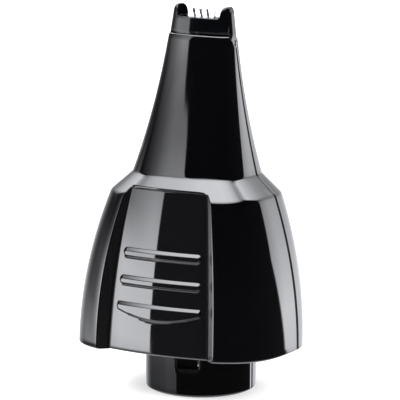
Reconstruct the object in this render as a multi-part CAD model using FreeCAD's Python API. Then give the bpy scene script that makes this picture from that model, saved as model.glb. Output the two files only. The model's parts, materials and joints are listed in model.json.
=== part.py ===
"""Nose hair trimmer head: a push-on attachment with a rocking lever drive.

Millimetres, +Z up. The origin is the centre of the spigot's end face, and the
spigot runs up the Z axis. The moulded head above it leans back a little, so its
pieces are drawn in the "head frame": its origin is the middle of the bell's rim,
its Z runs up the nozzle, -Y is the front and X is the stroke of the cutter.
"""
import FreeCAD, Part
import math
import os

V = FreeCAD.Vector

# ---- driving dimensions -------------------------------------------------
SPIGOT_R = 8.4              # outside of the push-on spigot
SPIGOT_WALL = 1.5
SPIGOT_LAND = 6.2           # the handle's mouth fits the true cylinder up to here
SPIGOT_RELIEF = 0.2         # how much slimmer the spigot is above that land
LATCH_SPAN = (0.0, 3.3, 4.4, 7.0)    # from and to in X, from and to in Z
LATCH_DEEP = 0.5
SOCKET_DEEP = 7.0           # depth of the true round socket for the handle's drive boss
RIM_HEIGHT = 7.2            # height of the bell's rim centre above the spigot's end
RIM_SHIFT = -2.9            # the rim's centre lies this far in front of the spigot axis
LEAN = 3.9                  # the head leans back by this many degrees

BELL_HEIGHT = 23.2
BELL_HALF_WIDTH = 16.0      # at the rim
BELL_PULL_IN = 4.0          # how much narrower the half width is at the bell's top
BELL_DEPTH_RATIO = (0.91, 0.965)    # front depth over half width, at rim and top
CONE_BASE = 26.05
CONE_TOP = 46.6
CONE_TOP_HALF_WIDTH = 5.28
CONE_FLARE = (2.35, 1.37)   # straight and curved share of the nozzle's widening
CONE_DEPTH_RATIO = (0.51, 1.01)     # front depth over half width, at mouth and base
BACK_RATIO = 0.85           # back depth over front depth
SQUARENESS = 3.05           # superellipse exponent of every section
WALL = 1.4
NOZZLE_WALL = 0.6
SEAM_GAP = 0.10             # open line between the two shells
WEB_TOP = 3.3               # floor of the mechanism space, in the head frame
WEB_THICK = 1.5

PANEL_BOTTOM_HALF = 8.0
PANEL_TOP_HALF = 6.1
PANEL_TOP = 24.2
PANEL_THICK = 1.2
PANEL_FRONT = 13.15         # depth of the panel's face from the head axis, at the rim
PANEL_PULL_IN = 2.65        # how much that depth shrinks by the panel's top
PANEL_PLAN_R = 32.0
RECESS_DEEP = 3.0           # the splayed walls run out to this depth in front of the panel
RECESS_SPLAY = 1.05         # sideways run of the recess walls per depth
FRONT_WALL = WALL + PANEL_THICK + 0.9
RIB_PROUD = 0.6
RIB_HEIGHT = 2.0
SLOT_RIBS = ((14.6, 6.35), (10.5, 6.65))    # height, half length
LENS_RIB = (6.65, 6.85)

CAP_TIP = 50.9
CAP_FOOT = 46.75
TIP_ROUND = 0.5
NOTCH_FLOOR = 49.3
NOTCH_HALF = 3.45
TAIL_DROP = 1.45
TAIL_HALF = 2.1
TAIL_INSIDE = 4.15          # the tails start at this distance from the middle

PIVOT_Z = 30.0              # lever pivot above the spigot's end
SLOT_Z = 53.4               # where the lever's finger drives the cutter slide
PIN_R = 1.0
DRIVE_PIN_R = 1.5           # eccentric pin of the handle that enters the fork
RUN_GAP = 0.03              # radial running clearance
SLIP = 0.05                 # face clearance beside a sliding piece

COMB_FRONT = -1.20          # blade planes, in the head frame
COMB_BACK = -0.80
CUTTER_FRONT = -0.78
CUTTER_BACK = -0.40
SLIDE_FRONT = -0.38
SLIDE_BACK = 0.70
TOOTH_PITCH = 1.1
TOOTH_GAP = 0.36
TOOTH_MIDDLE = 49.9         # slanted slots keep their pitch at this height
COMB_SLANT = -0.25          # sideways run of the comb's slots per height
COMB_HEAD_HALF = 2.05

HEAD = FreeCAD.Placement(V(0, RIM_SHIFT, RIM_HEIGHT), FreeCAD.Rotation(V(1, 0, 0), -LEAN))


# ---- helpers ------------------------------------------------------------
def to_world(shape):
    """Takes a shape drawn in the head frame to its place on the spigot."""
    placed = shape.copy()
    placed.Placement = HEAD.multiply(shape.Placement)
    return placed


def box(x0, x1, y0, y1, z0, z1):
    return Part.makeBox(x1 - x0, y1 - y0, z1 - z0, V(x0, y0, z0))


def rod(radius, start, end):
    """A round bar from one point to another."""
    run = V(*end) - V(*start)
    return Part.makeCylinder(radius, run.Length, V(*start), run)


def fuse(first, *others):
    return first.multiFuse(list(others)).removeSplitter()


def mirrored(shape):
    """The shape and its mirror image across the plane X = 0."""
    return [shape, shape.mirror(V(0, 0, 0), V(1, 0, 0))]


def prism_y(points, y0, y1):
    """A flat outline given as (x, z) points, extruded from y0 to y1."""
    corners = [V(x, y0, z) for x, z in points]
    face = Part.Face(Part.makePolygon(corners + corners[:1]))
    return face.extrude(V(0, y1 - y0, 0))


def section(z, half_width, front, back, count=40):
    """A closed superellipse at height z, with its own front and back depths."""
    points = []
    for i in range(count):
        turn = 2 * math.pi * i / count
        c, s = math.cos(turn), math.sin(turn)
        reach = (abs(c) ** SQUARENESS + abs(s) ** SQUARENESS) ** (-1 / SQUARENESS)
        depth = back if s > 0 else front
        points.append(V(half_width * reach * c, depth * reach * s, z))
    curve = Part.BSplineCurve()
    curve.interpolate(Points=points, PeriodicFlag=True)
    return Part.Wire([curve.toShape()])


def loft(wires, ruled=False):
    return Part.makeLoft(wires, True, ruled)


def spread(low, high, count):
    return [low + (high - low) * i / (count - 1) for i in range(count)]


def write(name, shape):
    shape.exportStep(f"parts/{name}.step")
    print(f"{name:16s} solids {len(shape.Solids)} valid {shape.isValid()} volume {shape.Volume:.2f}")


# ---- outer form ---------------------------------------------------------
def bell_size(z):
    """Half width and front depth of the bell at height z."""
    rise = z / BELL_HEIGHT
    half = BELL_HALF_WIDTH - BELL_PULL_IN * rise ** 2
    low, high = BELL_DEPTH_RATIO
    return half, half * (low + (high - low) * rise)


def cone_size(z):
    """Half width and front depth of the nozzle at height z; it flares towards its base."""
    drop = (CONE_TOP - z) / (CONE_TOP - CONE_BASE)
    half = CONE_TOP_HALF_WIDTH + CONE_FLARE[0] * drop + CONE_FLARE[1] * drop ** 2
    top, base = CONE_DEPTH_RATIO
    return half, half * (top + (base - top) * drop)


def ring(z, size, inset=0.0, front_inset=None):
    """The outer section at height z moved inwards by an inset, more at the front if asked."""
    half, front = size
    front_inset = inset if front_inset is None else front_inset
    return section(z, half - inset, front - front_inset, front * BACK_RATIO - inset)


def outer_form():
    """The closed outside of bell, shoulder and nozzle."""
    bell = loft([ring(z, bell_size(z)) for z in spread(0, BELL_HEIGHT, 5)])
    bell_top = ring(BELL_HEIGHT, bell_size(BELL_HEIGHT))
    shoulder = loft([bell_top, ring(CONE_BASE, cone_size(CONE_BASE))], True)
    cone = loft([ring(z, cone_size(z)) for z in spread(CONE_BASE, CONE_TOP, 4)])
    return fuse(bell, shoulder, cone)


def cavity():
    """The mechanism space; the front wall is thicker, because it carries the grip panel."""
    neck_z = BELL_HEIGHT - 1.2
    low = loft([ring(z, bell_size(z), WALL, FRONT_WALL) for z in spread(WEB_TOP, neck_z, 4)])
    neck_top = ring(CONE_BASE, cone_size(CONE_BASE), WALL)
    neck = loft([ring(neck_z, bell_size(neck_z), WALL, FRONT_WALL), neck_top], True)
    bore = loft([ring(z, cone_size(z), nozzle_wall(z)) for z in spread(CONE_BASE, CONE_TOP + 1.0, 5)])
    return fuse(low, neck, bore)


def tail_wedges(grow=0.0):
    """The V under each side of the cap, as a short prism along X and its mirror image."""
    low = CONE_TOP - TAIL_DROP - grow
    wide = TAIL_HALF + grow
    inside = TAIL_INSIDE - grow
    right = [(0.5, low), (wide, CONE_TOP), (wide, CONE_TOP + 3)]
    outline = right + [(-y, z) for y, z in right[::-1]]
    corners = [V(inside, y, z) for y, z in outline]
    return mirrored(Part.Face(Part.makePolygon(corners + corners[:1])).extrude(V(4, 0, 0)))


# ---- grip panel and the recess it sits in ---------------------------------
def panel_half(z):
    return PANEL_BOTTOM_HALF + (PANEL_TOP_HALF - PANEL_BOTTOM_HALF) * z / PANEL_TOP


def panel_face_y(z, x):
    """Depth of the panel's face: an arc in plan that pulls in towards the top."""
    centre = -(PANEL_FRONT - PANEL_PULL_IN * (z / PANEL_TOP) ** 2)
    return centre + PANEL_PLAN_R - math.sqrt(PANEL_PLAN_R ** 2 - x ** 2)


def panel_slab(proud, deep, z0, z1):
    """A slab that follows the panel's face, from `proud` in front of it to `deep` behind."""
    wires = []
    for z in spread(z0, z1, 5):
        half = panel_half(z)
        face = [V(x, panel_face_y(z, x) - proud, z) for x in (-half, 0, half)]
        rear = [V(x, panel_face_y(z, x) + deep, z) for x in (half, 0, -half)]
        edges = [Part.Arc(*face).toShape(), Part.makeLine(face[2], rear[0]),
                 Part.Arc(*rear).toShape(), Part.makeLine(rear[2], face[0])]
        wires.append(Part.Wire(edges))
    return loft(wires)


def recess_cutter():
    """Everything in front of the panel's face, with side walls that splay outwards."""
    wires = []
    for z in spread(-1.5, CONE_BASE + 1.0, 5):
        half = panel_half(z)
        face = [V(x, panel_face_y(z, x), z) for x in (-half, 0, half)]
        run = RECESS_DEEP * RECESS_SPLAY
        out = [V(half + run, face[2].y - RECESS_DEEP, z), V(-half - run, face[0].y - RECESS_DEEP, z)]
        far = [V(out[0].x, out[0].y - 3, z), V(out[1].x, out[1].y - 3, z)]
        corners = [face[2], out[0], far[0], far[1], out[1], face[0]]
        sides = [Part.makeLine(a, b) for a, b in zip(corners, corners[1:])]
        wires.append(Part.Wire([Part.Arc(*face).toShape()] + sides))
    return loft(wires)


def stadium(half_length, height, z, y):
    """A long slot outline in the XZ plane."""
    r = height / 2
    straight = half_length - r
    top = Part.makeLine(V(-straight, y, z + r), V(straight, y, z + r))
    right = Part.Arc(V(straight, y, z + r), V(half_length, y, z), V(straight, y, z - r)).toShape()
    low = Part.makeLine(V(straight, y, z - r), V(-straight, y, z - r))
    left = Part.Arc(V(-straight, y, z - r), V(-half_length, y, z), V(-straight, y, z + r)).toShape()
    return Part.Wire([top, right, low, left])


def lens(half_length, height, z, y):
    """The lowest rib's outline: a flat top, short ends and a bottom edge that bulges."""
    end = height * 0.45
    top = z + height / 2
    corner = [V(-half_length, y, top), V(half_length, y, top), V(half_length, y, top - end),
              V(0, y, top - height), V(-half_length, y, top - end)]
    bulge = Part.Arc(corner[2], corner[3], corner[4]).toShape()
    return Part.Wire([Part.makeLine(corner[0], corner[1]), Part.makeLine(corner[1], corner[2]),
                      bulge, Part.makeLine(corner[4], corner[0])])


def grip_panel():
    """The insert with its three finger ribs."""
    body = panel_slab(0.0, PANEL_THICK, 0.0, PANEL_TOP)
    ribs = []
    outlines = [stadium(half, RIB_HEIGHT, level, -PANEL_FRONT - 3) for level, half in SLOT_RIBS]
    level, half = LENS_RIB
    outlines.append(lens(half, RIB_HEIGHT, level, -PANEL_FRONT - 3))
    for wire in outlines:
        prism = Part.Face(wire).extrude(V(0, 8, 0))
        rib = prism.common(panel_slab(RIB_PROUD, 0.5, 0.0, PANEL_TOP))
        ribs.append(rounded_front(rib, 0.3))
    return fuse(body, *ribs)


def rounded_front(solid, radius):
    """Rounds the edges of a rib's front face."""
    front = min(solid.Faces, key=lambda face: face.CenterOfMass.y)
    return solid.makeFillet(radius, front.Edges)


# ---- shells ---------------------------------------------------------------
# x, height, front end and back end of each screw boss; every one has a twin at -x
SHELL_BOSSES = ((5.5, 9.5, -10.85, 11.2), (4.8, 19.0, -9.7, 10.0))
BOSS_R = 2.0
SCREW_SEAT = -4.0                               # depth where the shell screws' heads sit
FRAME_SCREW = (8.8, 3.5)                        # x and depth, in the head frame


def nozzle_wall(z):
    """Wall thickness of the nozzle: thin at the mouth, full at its base."""
    drop = min(1.0, max(0.0, (CONE_TOP - z) / (CONE_TOP - CONE_BASE)))
    return NOZZLE_WALL + (WALL - NOZZLE_WALL) * drop


def under_recess():
    """The open space under the web, around the spigot."""
    levels = spread(-1.0, WEB_TOP - WEB_THICK, 3)
    return loft([ring(z, bell_size(z), WALL, FRONT_WALL) for z in levels])


def screw_bosses():
    bosses = []
    for x, z, front, back in SHELL_BOSSES:
        bosses += mirrored(rod(BOSS_R, (x, front, z), (x, back, z)))
    x, y = FRAME_SCREW
    bosses += mirrored(rod(1.7, (x, y, 0.6), (x, y, WEB_TOP)))
    return [to_world(boss) for boss in bosses]


def screw_holes():
    """Pilot holes, and the deep counterbores under the panel for the shell screws' heads."""
    holes = []
    for x, z, front, _ in SHELL_BOSSES:
        holes += mirrored(rod(0.83, (x, SCREW_SEAT - 2, z), (x, 5.5, z)))
        holes += mirrored(rod(1.5, (x, SCREW_SEAT, z), (x, front - 1.5, z)))
    x, y = FRAME_SCREW
    holes += mirrored(rod(0.78, (x, y, 1.2), (x, y, WEB_TOP + 1)))
    return [to_world(hole) for hole in holes]


def latch_pocket():
    """A shallow square-edged pocket in the spigot's front, where the handle's catch clicks in."""
    x0, x1, z0, z1 = LATCH_SPAN
    pocket = box(x0, x1, -SPIGOT_R - 1, -SPIGOT_R * 0.9, z0, z1)
    return pocket.cut(rod(SPIGOT_R - LATCH_DEEP, (0, 0, 0), (0, 0, 9)))


def tail_notches():
    """Room in the nozzle's mouth for the two V tails of the cap."""
    return [to_world(wedge) for wedge in tail_wedges(0.1)]


def shells():
    """The two halves, parted on the plane through the spigot's axis."""
    land = rod(SPIGOT_R, (0, 0, 0), (0, 0, SPIGOT_LAND))
    land = land.makeFillet(0.4, [edge for edge in land.Edges if edge.BoundBox.ZMax < 0.1])
    neck = rod(SPIGOT_R - SPIGOT_RELIEF, (0, 0, 1), (0, 0, RIM_HEIGHT + 2.5))
    bore = rod(SPIGOT_R - SPIGOT_WALL, (0, 0, -1), (0, 0, RIM_HEIGHT + 6))
    relief = rod(SPIGOT_R - SPIGOT_WALL + 0.3, (0, 0, SOCKET_DEEP), (0, 0, RIM_HEIGHT + 6))
    whole = to_world(outer_form()).cut([to_world(cavity()), to_world(under_recess())])
    whole = whole.multiFuse([land, neck] + screw_bosses())
    whole = whole.cut([bore]).cut([relief])
    whole = whole.cut([to_world(recess_cutter())])
    whole = whole.cut([to_world(panel_slab(1.0, PANEL_THICK, -1.5, PANEL_TOP))])
    whole = whole.cut([latch_pocket()] + tail_notches() + screw_holes())
    half_gap = SEAM_GAP / 2
    front = whole.common(box(-30, 30, -30, -half_gap, -5, 70))
    rear = whole.common(box(-30, 30, half_gap, 30, -5, 70))
    return front, rear


# ---- cap and blades ---------------------------------------------------------
def cap_size(z):
    """Half width and front depth of the cap at height z."""
    rise = (z - CAP_FOOT) / (CAP_TIP - CAP_FOOT)
    return 5.05 - 0.51 * rise, 2.57 - 0.26 * rise


def blade_cap():
    """The cap: a skirt that plugs into the mouth, a floor, two prongs and two V tails."""
    low = CONE_TOP - TAIL_DROP
    top = CAP_TIP - TIP_ROUND
    body = loft([ring(z, cap_size(z)) for z in spread(low, top, 4)])
    crown = []
    for turn in (0, 30, 60, 90):
        s, c = math.sin(math.radians(turn)), math.cos(math.radians(turn))
        z = top + TIP_ROUND * s
        crown.append(ring(z, cap_size(z), TIP_ROUND * (1 - c)))
    body = body.fuse(loft(crown, True))
    below = box(-8, 8, -6, 6, low - 1, CAP_FOOT).cut(tail_wedges())
    body = body.cut(below.Solids)
    mouth = cone_size(CONE_TOP)
    skirt = loft([ring(z, mouth, NOZZLE_WALL + 0.06) for z in (low, CAP_FOOT + 0.3)])
    bore = loft([ring(z, mouth, NOZZLE_WALL + 0.36) for z in (low - 1, NOTCH_FLOOR - 0.8)])
    notch = box(-NOTCH_HALF, NOTCH_HALF, -5, 5, NOTCH_FLOOR, CAP_TIP + 2)
    corners = [e for e in notch.Edges if e.BoundBox.ZMax < NOTCH_FLOOR + 0.05 and e.BoundBox.YLength > 5]
    notch = notch.makeFillet(0.45, corners)
    slot = box(-3.2, 3.2, COMB_FRONT - 0.12, CUTTER_BACK + 0.12, NOTCH_FLOOR - 2, NOTCH_FLOOR + 1)
    return body.fuse(skirt).cut([bore]).cut([notch]).cut([slot])


def teeth_gaps(count, low_width, high_width, z0, z1, y0, y1, slant=0.0):
    """V-shaped gaps between teeth, centred on the blade; slant is the run to the side per height."""
    gaps = []
    for i in range(count):
        x = (i - (count - 1) / 2) * TOOTH_PITCH
        foot, head = (x + slant * (z - TOOTH_MIDDLE) for z in (z0, z1))
        low, high = low_width / 2, high_width / 2
        gaps.append(prism_y([(foot - low, z0), (foot + low, z0), (head + high, z1), (head - high, z1)], y0, y1))
    return gaps


def comb_blade():
    """The fixed front blade; its slanted slots guide the hair, and its toothed head is narrower."""
    plate = box(-3.05, 3.05, COMB_FRONT, COMB_BACK, 43.7, CAP_TIP - 0.3)
    holes = mirrored(rod(0.45, (2.4, -3, 44.3), (2.4, 1, 44.3)))
    front, back = COMB_FRONT - 1, COMB_BACK + 1
    gaps = teeth_gaps(3, TOOTH_GAP * 0.8, TOOTH_GAP * 1.3, 48.7, CAP_TIP, front, back, COMB_SLANT)
    shoulders = mirrored(box(COMB_HEAD_HALF, 4, front, back, NOTCH_FLOOR - 0.4, CAP_TIP))
    return plate.cut(holes + gaps + shoulders)


def cutter_blade():
    """The moving blade, riveted to the front of its slide."""
    blade = box(-COMB_HEAD_HALF, COMB_HEAD_HALF, CUTTER_FRONT, CUTTER_BACK, 47.75, CAP_TIP - 0.5)
    tang = box(-2.0, 2.0, CUTTER_FRONT, CUTTER_BACK, 45.9, 47.8)
    gaps = teeth_gaps(2, 0.45, 0.6, 48.8, CAP_TIP, CUTTER_FRONT - 1, CUTTER_BACK + 1)
    return fuse(blade, tang).cut(gaps + cutter_rivet_bars(0.31))


def cutter_rivet_bars(radius):
    return mirrored(rod(radius, (1.4, CUTTER_FRONT, 46.6), (1.4, CUTTER_BACK + 0.7, 46.6)))


def cutter_slide():
    """Carries the cutter; the lever's finger works in its slot."""
    block = box(-2.0, 2.0, SLIDE_FRONT, SLIDE_BACK, 45.05, 47.9)
    slot = box(-0.80, 0.80, SLIDE_FRONT - 1, SLIDE_BACK + 1, 44.0, 47.1)
    pad = box(-1.9, 1.9, CUTTER_BACK, SLIDE_FRONT, 45.9, 47.7)
    return fuse(block, pad).cut([slot] + cutter_rivet_bars(0.31))


def blade_holder():
    """Plugs the nozzle's mouth: carries the comb in front and guides the slide."""
    top = 45.0
    base = loft([ring(z, cone_size(top), nozzle_wall(top) + 0.08) for z in (42.6, top)])
    seat = box(-3.15, 3.15, -4, COMB_BACK, 43.6, top + 1)
    window = box(-1.5, 1.5, -0.55, 1.0, 42, top + 1)
    pillars = mirrored(box(2.7, 3.5, COMB_BACK, 0.75, top - 0.3, 47.6))
    pilots = mirrored(rod(0.42, (2.4, -3, 44.3), (2.4, 0.9, 44.3)))
    pilots += mirrored(rod(0.26, (3.1, 0.1, 46.5), (3.1, 2, 46.5)))
    return fuse(base, *pillars).cut([seat, window] + pilots)


def blade_spring():
    """A leaf on the pillars' backs, bowed forward against the slide."""
    back, bow, thick = 0.77, SLIDE_BACK + 0.02, 0.15

    def edge(offset):
        a, b, c, d = (V(x, back + offset, 45.9) for x in (-3.45, -2.6, 2.6, 3.45))
        arc = Part.Arc(b, V(0, bow + offset, 45.9), c).toShape()
        return a, d, [Part.makeLine(a, b), arc, Part.makeLine(c, d)]

    a0, d0, near = edge(0.0)
    a1, d1, far = edge(thick)
    outline = near + [Part.makeLine(d0, d1)] + far[::-1] + [Part.makeLine(a1, a0)]
    leaf = Part.Face(Part.Wire(outline)).extrude(V(0, 0, 1.2))
    return leaf.cut(mirrored(rod(0.26, (3.1, 0, 46.5), (3.1, 2, 46.5))))


# ---- drive ------------------------------------------------------------------
PLATE_TOP = WEB_TOP + 1.5
POST_HALF = 2.6             # half width of the frame's posts
POST_Y = (2.9, 4.5)
POST_FOOT = 11.2


def drive_frame():
    """A screwed-down plate with two posts that carry the lever's pivot pin."""
    plate = to_world(box(-10.6, 10.6, -2.6, 7.4, WEB_TOP, PLATE_TOP))
    posts = []
    for side in (-1, 1):
        y0, y1 = sorted((side * POST_Y[0], side * POST_Y[1]))
        posts.append(box(-POST_HALF, POST_HALF, y0, y1, POST_FOOT, PIVOT_Z))
        posts.append(rod(POST_HALF, (0, y0, PIVOT_Z), (0, y1, PIVOT_Z)))
    opening = box(-4.6, 4.6, -POST_Y[0], POST_Y[0], 5, 14)
    bores = [rod(PIN_R + 0.01, (0, -9, PIVOT_Z), (0, 9, PIVOT_Z)), opening]
    x, y = FRAME_SCREW
    bores += [to_world(hole) for hole in mirrored(rod(0.85, (x, y, 0), (x, y, 9)))]
    return fuse(plate, *posts).cut(bores)


def drive_lever():
    """Rocks on the pivot: a fork below for the eccentric pin, a finger above for the slide."""
    slot = DRIVE_PIN_R + 0.05
    outer = slot + 1.5
    legs = [(-outer, 7.8), (outer, 7.8), (outer, 13), (2.3, 29), (-2.3, 29), (-outer, 13)]
    lower = prism_y(legs, -2.0, 2.0)
    fork_gap = box(-slot, slot, -3, 3, 7, 12.5)
    crotch = rod(slot, (0, -3, 12.5), (0, 3, 12.5))
    boss = rod(3.0, (0, -2.2, PIVOT_Z), (0, 2.2, PIVOT_Z))
    arm = prism_y([(-2.0, 31), (2.0, 31), (0.9, 45), (-0.9, 45)], -1.0, 1.2)
    finger = box(-0.75, 0.75, 0.05, 0.85, 44, SLOT_Z + 0.4)
    bush_bore = rod(2.0, (0, -3, PIVOT_Z), (0, 3, PIVOT_Z))
    return fuse(lower, boss, arm, finger).cut([fork_gap, crotch, bush_bore])


def lever_bush():
    tube = rod(2.0, (0, -2.2, PIVOT_Z), (0, 2.2, PIVOT_Z))
    return tube.cut(rod(PIN_R + RUN_GAP, (0, -3, PIVOT_Z), (0, 3, PIVOT_Z)))


def pivot_pin():
    """A headed pin with a groove for its clip."""
    front, groove = -POST_Y[1], POST_Y[1] + 0.1
    pin = rod(PIN_R, (0, front, PIVOT_Z), (0, groove + 0.9, PIVOT_Z))
    head = rod(1.7, (0, front - 0.6, PIVOT_Z), (0, front, PIVOT_Z))
    neck = rod(PIN_R + 1, (0, groove, PIVOT_Z), (0, groove + 0.4, PIVOT_Z))
    neck = neck.cut(rod(0.7, (0, groove - 1, PIVOT_Z), (0, groove + 1, PIVOT_Z)))
    return fuse(pin, head).cut(neck)


def pin_clip():
    """The open ring that snaps into the pin's groove."""
    y0 = POST_Y[1] + 0.12
    disc = rod(1.9, (0, y0, PIVOT_Z), (0, y0 + 0.36, PIVOT_Z))
    bore = rod(0.72, (0, y0 - 1, PIVOT_Z), (0, y0 + 1, PIVOT_Z))
    return disc.cut([bore, box(-0.6, 0.6, y0 - 1, y0 + 1, PIVOT_Z - 3, PIVOT_Z)])


def pivot_washers():
    """Two thrust washers, one each side of the lever's boss."""
    rings = []
    for side in (-1, 1):
        y0, y1 = sorted((side * (2.2 + SLIP), side * (POST_Y[0] - SLIP)))
        ring_body = rod(2.4, (0, y0, PIVOT_Z), (0, y1, PIVOT_Z))
        rings.append(ring_body.cut(rod(PIN_R + RUN_GAP, (0, y0 - 1, PIVOT_Z), (0, y1 + 1, PIVOT_Z))))
    return Part.makeCompound(rings)


def hair_seal():
    """A rubber ring in the nozzle that keeps clippings out of the drive."""
    z0, z1 = 36.0, 37.4
    plate = loft([ring(z, cone_size(z1), nozzle_wall(z1) + 0.06) for z in (z0, z1)])
    return plate.cut(box(-2.1, 2.1, -1.1, 1.9, z0 - 1, z1 + 1))


# ---- fasteners ----------------------------------------------------------------
def screw(shank_r, head_r, head_height, start, end):
    """A pan head screw whose head sits on `start`; the shank runs to `end`."""
    along = (V(*end) - V(*start)).normalize()
    cap_end = V(*start) - along * head_height
    head = rod(head_r, start, tuple(cap_end))
    rim = [edge for edge in head.Edges if edge.CenterOfMass.distanceToPoint(cap_end) < 0.01]
    head = head.makeFillet(head_height * 0.35, rim)
    socket_end = cap_end + along * head_height * 0.5
    cross = rod(head_r * 0.35, tuple(cap_end), tuple(socket_end))
    return fuse(head, rod(shank_r, start, end)).cut(cross)


def pairs(shape):
    return Part.makeCompound([to_world(one) for one in mirrored(shape)])


def shell_screws():
    screws = []
    for x, z, _, _ in SHELL_BOSSES:
        screws += mirrored(screw(0.8, 1.4, 1.2, (x, SCREW_SEAT, z), (x, 5.2, z)))
    return Part.makeCompound([to_world(one) for one in screws])


def frame_screws():
    x, y = FRAME_SCREW
    return pairs(screw(0.75, 1.4, 1.0, (x, y, PLATE_TOP), (x, y, 1.5)))


def comb_screws():
    return pairs(screw(0.4, 0.7, 0.4, (2.4, COMB_FRONT, 44.3), (2.4, 0.7, 44.3)))


def cutter_rivets():
    return Part.makeCompound([to_world(bar) for bar in cutter_rivet_bars(0.30)])


def spring_rivets():
    shank = rod(0.25, (3.1, 0.2, 46.5), (3.1, 0.95, 46.5))
    head = rod(0.30, (3.1, 0.93, 46.5), (3.1, 1.02, 46.5))
    return pairs(fuse(shank, head))


def main():
    os.makedirs("parts", exist_ok=True)
    front, rear = shells()
    write("front_shell", front)
    write("rear_shell", rear)
    for maker in (grip_panel, blade_cap, comb_blade, cutter_blade, cutter_slide,
                  blade_holder, blade_spring, hair_seal):
        write(maker.__name__, to_world(maker()))
    for maker in (drive_frame, drive_lever, lever_bush, pivot_pin, pin_clip, pivot_washers,
                  shell_screws, frame_screws, comb_screws, cutter_rivets, spring_rivets):
        write(maker.__name__, maker())


main()
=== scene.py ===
import json
import math

import bmesh
import bpy
from mathutils import Matrix, Vector


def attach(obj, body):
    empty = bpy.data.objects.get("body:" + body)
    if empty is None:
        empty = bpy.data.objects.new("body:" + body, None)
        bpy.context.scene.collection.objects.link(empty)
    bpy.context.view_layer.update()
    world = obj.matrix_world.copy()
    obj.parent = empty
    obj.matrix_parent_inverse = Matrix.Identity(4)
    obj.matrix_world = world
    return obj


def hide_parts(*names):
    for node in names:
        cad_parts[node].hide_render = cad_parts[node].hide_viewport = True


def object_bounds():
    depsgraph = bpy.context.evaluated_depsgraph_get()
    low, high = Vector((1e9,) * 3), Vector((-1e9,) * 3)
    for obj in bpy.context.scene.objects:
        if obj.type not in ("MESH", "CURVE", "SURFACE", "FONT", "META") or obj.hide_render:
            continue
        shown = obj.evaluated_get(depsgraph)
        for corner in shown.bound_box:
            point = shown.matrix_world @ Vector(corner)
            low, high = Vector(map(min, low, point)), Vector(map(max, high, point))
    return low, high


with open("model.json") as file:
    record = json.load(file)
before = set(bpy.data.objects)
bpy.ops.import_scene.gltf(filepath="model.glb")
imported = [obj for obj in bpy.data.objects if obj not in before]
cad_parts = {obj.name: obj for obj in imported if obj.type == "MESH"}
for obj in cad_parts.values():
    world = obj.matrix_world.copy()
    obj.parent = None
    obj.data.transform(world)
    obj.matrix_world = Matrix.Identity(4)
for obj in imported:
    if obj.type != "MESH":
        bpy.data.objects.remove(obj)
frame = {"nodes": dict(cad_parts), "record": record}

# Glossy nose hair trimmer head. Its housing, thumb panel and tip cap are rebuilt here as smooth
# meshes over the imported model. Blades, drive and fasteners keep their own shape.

CAD_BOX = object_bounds()
MM = 0.001
MOUNT_SIZES = {mount["name"]: mount["dims"] for mount in frame["record"]["mounts"]}

# ---- sizes of the housing, in millimetres ----
SPIGOT_R = MOUNT_SIZES["spigot"]["r_mm"]
SOCKET_R = MOUNT_SIZES["drive_socket"]["r_mm"]
RIM_HEIGHT = 7.2
RIM_SHIFT = -2.9
LEAN = math.radians(3.9)
SEAM_GAP = 0.10
SEAM_ROUND = 0.07
SEAM_CLEAR = 0.02           # how far the inside wall stays off the seam

BELL_HEIGHT = 23.2
BELL_HALF_WIDTH = 16.0
BELL_PULL_IN = 4.0
BELL_DEPTH_RATIO = (0.91, 0.965)
CONE_BASE = 26.05
CONE_TOP = 46.6
CONE_TOP_HALF_WIDTH = 5.28
CONE_FLARE = (2.35, 1.37)
CONE_DEPTH_RATIO = (0.51, 1.01)
BACK_RATIO = 0.85
SQUARENESS = 3.05

WALL = 1.4
NOZZLE_WALL = 0.6
FRONT_WALL = 3.5
FRONT_WALL_FADE = 2.0       # the thick front wall thins out from this far below the bell's top
RIM_ROUND = 0.30
BELL_EDGE_ROUND = 0.35
CREASE_ROUND = 0.22
MOUTH_ROUND = 0.22
SHOULDER_SHARE = 0.7        # a round's length on the shoulder, as a share of its length elsewhere

# the latch pocket in the spigot's front, and the spigot's edges
LATCH_ACROSS = (0.0, 3.3)
LATCH_UP = (4.4, 7.0)
LATCH_DEPTH = 0.5
LATCH_EDGE = 0.10
SPIGOT_ROUND = 0.4
SPIGOT_RISE = 2.4           # how far the spigot's wall goes on above the rim, out of sight
SOCKET_LEAD = (0.15, 0.3)   # widening and height of the socket's lead-in

# the floor between spigot and housing: its heights and how far it enters its neighbours
WEB_HEIGHTS = (1.8, 3.3)
WEB_INTO_WALL = 0.3
WEB_INTO_SPIGOT = 0.5

# ---- sizes of the thumb panel, in millimetres ----
PANEL_HALF = (8.0, 6.1)     # half width at the rim and at the panel's top
PANEL_BULGE = 0.34          # how far its sides bow out at mid height
PANEL_TOP = 24.2
PANEL_FRONT = 13.15
PANEL_PULL_IN = 2.65
PANEL_PLAN_R = 32.0
PANEL_GAP = 0.03
PANEL_THICK = 1.2
RECESS_FLOOR = 0.35         # how far the recess's floor lies behind the panel's face
RECESS_SPLAY = 1.05         # sideways run of the recess walls per depth
RECESS_REACH = 4.0          # deeper than the recess is anywhere
RECESS_EDGE_ROUND = 0.25
RECESS_ROUND_SHARE = 0.45   # most of a shallow recess wall that its rounded edge may take
RECESS_STEP = 0.02          # half height of the step at the recess's top
RECESS_MARGIN = 0.12        # columns above the recess start this far outside it
RECESS_SIDES = (6.0, 10.2)  # the side walls lie between these distances from the middle
RECESS_BACK = -8.0          # and in front of this depth
RIB_PROUD = 0.36
RIB_UPPER_SLOPE = 0.52
RIB_LOWER_SLOPE = 0.28
RIB_END_SLOPE = 0.30
RIB_CORNER = 0.16           # share of a rib's bevel that is rounded at its upper edge
RIB_HEIGHT = 1.36
RIBS = ((14.78, 6.35), (10.68, 6.65))   # centre height and half length of the two slot-shaped ribs
LOW_RIB = (7.45, 6.85, 2.4, 1.2)        # top edge, half length, height in the middle and at the ends

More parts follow.
